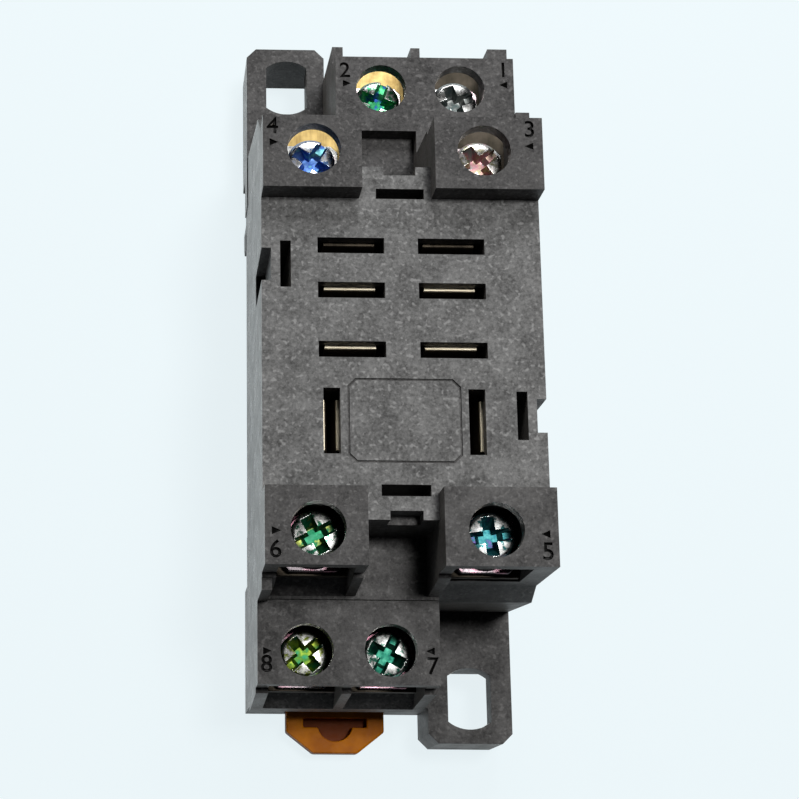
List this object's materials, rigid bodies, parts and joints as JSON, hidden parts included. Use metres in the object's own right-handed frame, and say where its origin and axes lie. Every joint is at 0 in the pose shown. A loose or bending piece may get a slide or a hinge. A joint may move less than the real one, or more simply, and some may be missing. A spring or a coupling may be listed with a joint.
{
  "type": "relay socket",
  "caption": "Plug-in relay socket with screw terminals at both ends, two slotted mounting ears and a sprung rail clip.",
  "frame": {"origin": "on the back mounting plane, halfway between the two ears' ends and centred across the width", "axes": "+X right and +Y up the face seen from the front, +Z out of the front"},
  "size_m": [0.0279, 0.0802, 0.03],
  "materials": {
    "charcoal_plastic": "satin",
    "orange_plastic": "satin",
    "zinc_steel": "polished",
    "zinc_screw": "polished",
    "brass_strip": "satin",
    "brass_contact": "satin"
  },
  "bodies": {
    "socket": {"housing": "charcoal_plastic", "base": "charcoal_plastic", "base_screw_1": "zinc_steel", "base_screw_2": "zinc_steel", "terminal_1": "brass_strip", "terminal_2": "brass_strip", "terminal_3": "brass_strip", "terminal_4": "brass_strip", "terminal_5": "brass_strip", "terminal_6": "brass_strip", "terminal_7": "brass_strip", "terminal_8": "brass_strip", "relay_contact_1": "brass_contact", "relay_contact_2": "brass_contact", "relay_contact_3": "brass_contact", "relay_contact_4": "brass_contact", "relay_contact_5": "brass_contact", "relay_contact_6": "brass_contact", "relay_contact_7": "brass_contact", "relay_contact_8": "brass_contact"},
    "rail_clip": {"rail_clip": "orange_plastic"},
    "washer_1": {"clamp_washer_1": "zinc_steel"},
    "screw_1": {"terminal_screw_1": "zinc_screw"},
    "washer_2": {"clamp_washer_2": "zinc_steel"},
    "screw_2": {"terminal_screw_2": "zinc_screw"},
    "washer_3": {"clamp_washer_3": "zinc_steel"},
    "screw_3": {"terminal_screw_3": "zinc_screw"},
    "washer_4": {"clamp_washer_4": "zinc_steel"},
    "screw_4": {"terminal_screw_4": "zinc_screw"},
    "washer_5": {"clamp_washer_5": "zinc_steel"},
    "screw_5": {"terminal_screw_5": "zinc_screw"},
    "washer_6": {"clamp_washer_6": "zinc_steel"},
    "screw_6": {"terminal_screw_6": "zinc_screw"},
    "washer_7": {"clamp_washer_7": "zinc_steel"},
    "screw_7": {"terminal_screw_7": "zinc_screw"},
    "washer_8": {"clamp_washer_8": "zinc_steel"},
    "screw_8": {"terminal_screw_8": "zinc_screw"}
  },
  "joints": [
    {"name": "rail_clip_slide", "type": "slide", "parent": "socket", "child": "rail_clip", "axis": [0, -1, 0], "range_m": [0, 0.0025], "stiffness_N_per_m": 1000, "springref_m": -0.0005},
    {"name": "washer_lift_1", "type": "slide", "parent": "socket", "child": "washer_1", "axis": [0, 0, 1], "range_m": [0, 0.0018]},
    {"name": "screw_turn_1", "type": "hinge", "parent": "washer_1", "child": "screw_1", "pos_m": [0.00794, 0.0288, 0.0163], "axis": [0, 0, 1], "range_deg": [0, 1080]},
    {"name": "washer_lift_2", "type": "slide", "parent": "socket", "child": "washer_2", "axis": [0, 0, 1], "range_m": [0, 0.0018]},
    {"name": "screw_turn_2", "type": "hinge", "parent": "washer_2", "child": "screw_2", "pos_m": [-0.00045, 0.0288, 0.0163], "axis": [0, 0, 1], "range_deg": [0, 1080]},
    {"name": "washer_lift_3", "type": "slide", "parent": "socket", "child": "washer_3", "axis": [0, 0, 1], "range_m": [0, 0.0018]},
    {"name": "screw_turn_3", "type": "hinge", "parent": "washer_3", "child": "screw_3", "pos_m": [0.00805, 0.01679, 0.0269], "axis": [0, 0, 1], "range_deg": [0, 1080]},
    {"name": "washer_lift_4", "type": "slide", "parent": "socket", "child": "washer_4", "axis": [0, 0, 1], "range_m": [0, 0.0018]},
    {"name": "screw_turn_4", "type": "hinge", "parent": "washer_4", "child": "screw_4", "pos_m": [-0.00883, 0.01679, 0.0269], "axis": [0, 0, 1], "range_deg": [0, 1080]},
    {"name": "washer_lift_5", "type": "slide", "parent": "socket", "child": "washer_5", "axis": [0, 0, 1], "range_m": [0, 0.0018]},
    {"name": "screw_turn_5", "type": "hinge", "parent": "washer_5", "child": "screw_5", "pos_m": [0.00806, -0.02166, 0.0269], "axis": [0, 0, 1], "range_deg": [0, 1080]},
    {"name": "washer_lift_6", "type": "slide", "parent": "socket", "child": "washer_6", "axis": [0, 0, 1], "range_m": [0, 0.0018]},
    {"name": "screw_turn_6", "type": "hinge", "parent": "washer_6", "child": "screw_6", "pos_m": [-0.00881, -0.02166, 0.0269], "axis": [0, 0, 1], "range_deg": [0, 1080]},
    {"name": "washer_lift_7", "type": "slide", "parent": "socket", "child": "washer_7", "axis": [0, 0, 1], "range_m": [0, 0.0018]},
    {"name": "screw_turn_7", "type": "hinge", "parent": "washer_7", "child": "screw_7", "pos_m": [-0.00057, -0.0317, 0.0163], "axis": [0, 0, 1], "range_deg": [0, 1080]},
    {"name": "washer_lift_8", "type": "slide", "parent": "socket", "child": "washer_8", "axis": [0, 0, 1], "range_m": [0, 0.0018]},
    {"name": "screw_turn_8", "type": "hinge", "parent": "washer_8", "child": "screw_8", "pos_m": [-0.00896, -0.0317, 0.0163], "axis": [0, 0, 1], "range_deg": [0, 1080]}
  ],
  "couplings": [
    {"joint": "screw_turn_1", "follows": "washer_lift_1", "rad_per_m": 10472},
    {"joint": "screw_turn_2", "follows": "washer_lift_2", "rad_per_m": 10472},
    {"joint": "screw_turn_3", "follows": "washer_lift_3", "rad_per_m": 10472},
    {"joint": "screw_turn_4", "follows": "washer_lift_4", "rad_per_m": 10472},
    {"joint": "screw_turn_5", "follows": "washer_lift_5", "rad_per_m": 10472},
    {"joint": "screw_turn_6", "follows": "washer_lift_6", "rad_per_m": 10472},
    {"joint": "screw_turn_7", "follows": "washer_lift_7", "rad_per_m": 10472},
    {"joint": "screw_turn_8", "follows": "washer_lift_8", "rad_per_m": 10472}
  ]
}
